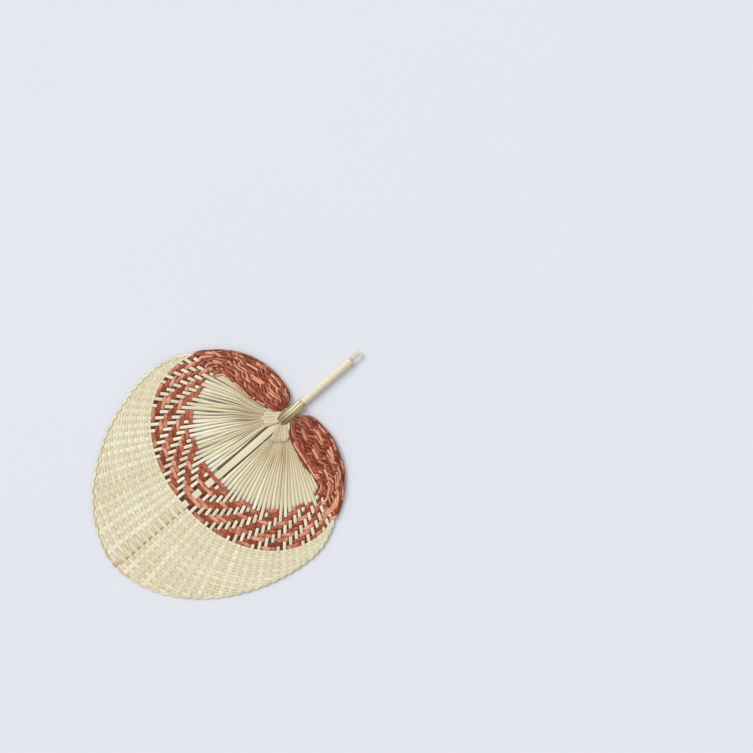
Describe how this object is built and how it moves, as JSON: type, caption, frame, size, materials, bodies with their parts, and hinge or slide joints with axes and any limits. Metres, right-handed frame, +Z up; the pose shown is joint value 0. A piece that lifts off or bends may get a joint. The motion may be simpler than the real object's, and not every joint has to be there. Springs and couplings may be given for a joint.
{
  "type": "palm leaf fan",
  "caption": "Hand fan woven from palm leaf strips, with a rust-dyed twill band, plaited side lobes, a strip-wound handle and a hanging loop.",
  "frame": {"origin": "under the middle of the fan's box, on the surface that it lies on", "axes": "+Z up out of the face, +Y along the midrib from the handle to the tip, +X to the right"},
  "size_m": [0.269, 0.3556, 0.0092],
  "materials": {
    "natural_leaf": "dry leaf, satin",
    "pale_leaf": "dry leaf, satin",
    "ochre_leaf": "dry leaf, matt",
    "dyed_leaf": "rust-dyed leaf, satin"
  },
  "bodies": {
    "fan": {"handle_core": "ochre_leaf", "handle_wrap": "pale_leaf", "throat_collar": "ochre_leaf", "midrib": "pale_leaf", "leaf_segment_left_01": "natural_leaf", "leaf_segment_left_02": "natural_leaf", "leaf_segment_left_03": "natural_leaf", "leaf_segment_left_04": "natural_leaf", "leaf_segment_left_05": "natural_leaf", "leaf_segment_left_06": "natural_leaf", "leaf_segment_left_07": "natural_leaf", "leaf_segment_left_08": "natural_leaf", "leaf_segment_left_09": "natural_leaf", "leaf_segment_left_10": "natural_leaf", "leaf_segment_left_11": "natural_leaf", "leaf_segment_left_12": "natural_leaf", "leaf_segment_left_13": "natural_leaf", "leaf_segment_right_01": "natural_leaf", "leaf_segment_right_02": "natural_leaf", "leaf_segment_right_03": "natural_leaf", "leaf_segment_right_04": "natural_leaf", "leaf_segment_right_05": "natural_leaf", "leaf_segment_right_06": "natural_leaf", "leaf_segment_right_07": "natural_leaf", "leaf_segment_right_08": "natural_leaf", "leaf_segment_right_09": "natural_leaf", "leaf_segment_right_10": "natural_leaf", "leaf_segment_right_11": "natural_leaf", "leaf_segment_right_12": "natural_leaf", "leaf_segment_right_13": "natural_leaf", "left_strip_bundle": "natural_leaf", "right_strip_bundle": "natural_leaf", "left_neck_binding": "ochre_leaf", "right_neck_binding": "ochre_leaf", "rim_left": "pale_leaf", "rim_right": "pale_leaf", "left_lobe": "dyed_leaf", "right_lobe": "dyed_leaf", "dyed_weft_01": "dyed_leaf", "dyed_weft_02": "dyed_leaf", "dyed_weft_03": "dyed_leaf", "dyed_weft_04": "dyed_leaf", "dyed_weft_05": "dyed_leaf", "dyed_weft_06": "dyed_leaf", "dyed_weft_07": "dyed_leaf", "dyed_weft_08": "dyed_leaf", "dyed_weft_09": "dyed_leaf", "dyed_weft_10": "dyed_leaf", "natural_weft_01": "pale_leaf", "natural_weft_02": "pale_leaf", "natural_weft_03": "pale_leaf", "natural_weft_04": "pale_leaf", "natural_weft_05": "pale_leaf", "natural_weft_06": "pale_leaf", "natural_weft_07": "pale_leaf", "natural_weft_08": "pale_leaf"},
    "loop": {"hang_loop": "natural_leaf"}
  },
  "joints": [
    {"name": "loop_bend", "type": "hinge", "parent": "fan", "child": "loop", "pos_m": [0, -0.16564, 0.0046], "axis": [-1, 0, 0], "range_deg": [-75, 75], "stiffness_Nm_per_rad": 0.0002}
  ]
}
